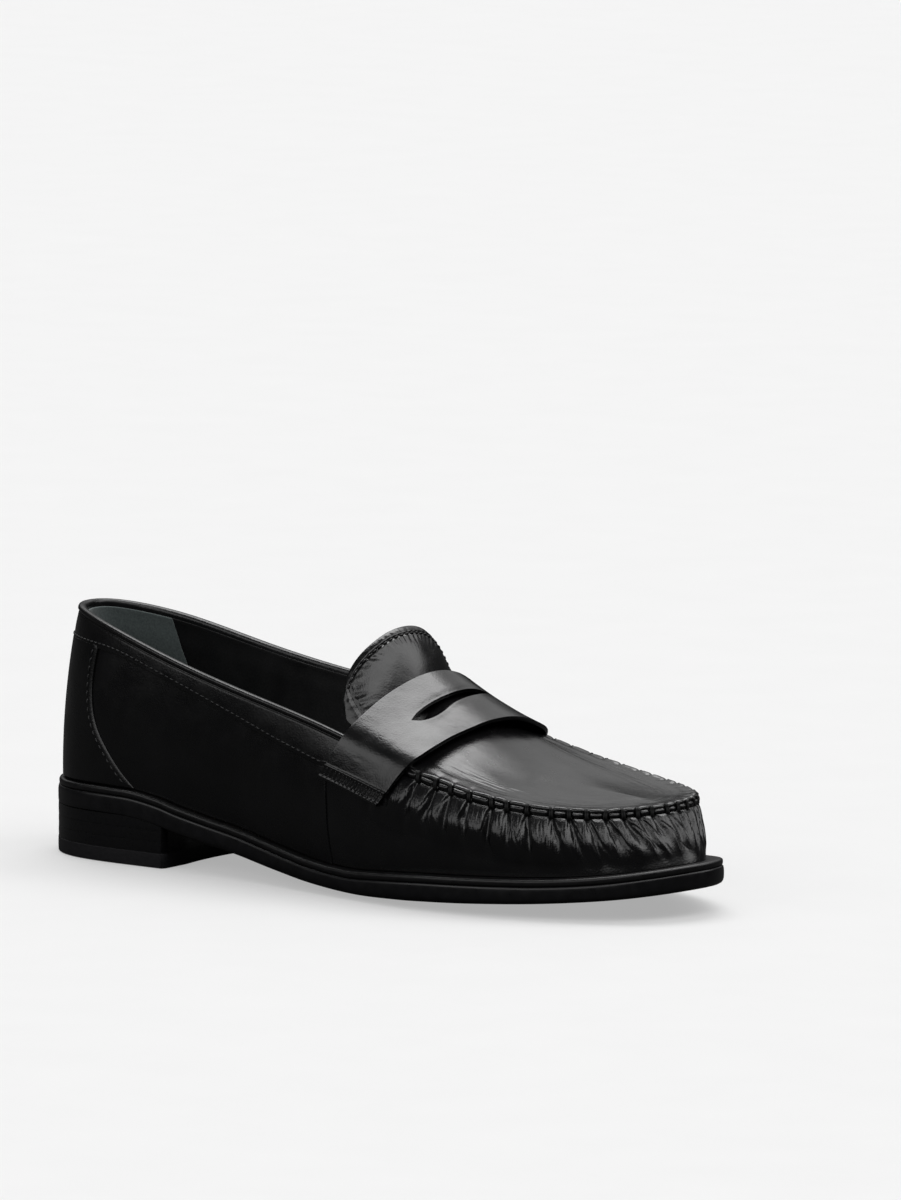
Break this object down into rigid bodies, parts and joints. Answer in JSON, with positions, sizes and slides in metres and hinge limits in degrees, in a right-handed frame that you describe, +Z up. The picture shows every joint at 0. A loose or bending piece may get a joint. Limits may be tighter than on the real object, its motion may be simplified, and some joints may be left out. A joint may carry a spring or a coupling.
{
  "type": "penny loafer",
  "caption": "Right penny loafer: slip-on leather shoe with a gathered apron seam, a slotted saddle strap over the instep, a rounded tongue and a low stacked heel.",
  "frame": {"origin": "centre of the shoe's plan box, on the ground plane under the heel and the ball of the sole", "axes": "+X from heel to toe, +Y towards the inner (medial) side, +Z up"},
  "size_m": [0.2644, 0.0878, 0.0851],
  "materials": {
    "strap_leather": "semi-gloss",
    "upper_leather": "semi-gloss",
    "lining_leather": "matt",
    "grip_suede": "matt",
    "outsole": "satin",
    "welt": "satin",
    "heel_stack": "satin",
    "toplift": "matt",
    "steel": "satin",
    "board": "matt",
    "cork": "matt",
    "foam": "matt",
    "stiffener": "matt",
    "thread": "waxed"
  },
  "bodies": {
    "shoe": {"toplift": "toplift", "heel_lift_1": "heel_stack", "heel_lift_2": "heel_stack", "heel_lift_3": "heel_stack", "heel_nails": "steel", "outsole": "outsole", "welt": "welt", "shank": "steel", "shank_board": "board", "cork_filler": "cork", "insole": "board", "heel_pad": "foam", "sock_lining": "lining_leather", "vamp": "upper_leather", "vamp_lining": "lining_leather", "toe_puff": "stiffener", "apron": "strap_leather", "apron_lining": "lining_leather", "quarter_lateral": "upper_leather", "quarter_medial": "upper_leather", "quarter_lining_lateral": "lining_leather", "quarter_lining_medial": "lining_leather", "heel_stiffener": "stiffener", "heel_grip": "grip_suede", "counter_patch": "upper_leather", "collar_lateral": "upper_leather", "collar_medial": "upper_leather", "saddle_strap": "strap_leather", "moc_stitching": "thread", "collar_stitching": "thread", "counter_stitching": "thread", "strap_stitching": "thread"},
    "tongue": {"tongue": "strap_leather", "tongue_lining": "lining_leather", "tongue_stitching": "thread"}
  },
  "joints": [
    {"name": "tongue_lift", "type": "hinge", "parent": "shoe", "child": "tongue", "pos_m": [0.01725, 0, 0.068], "axis": [0, 1, 0], "range_deg": [-15, 20], "stiffness_Nm_per_rad": 0.05}
  ]
}
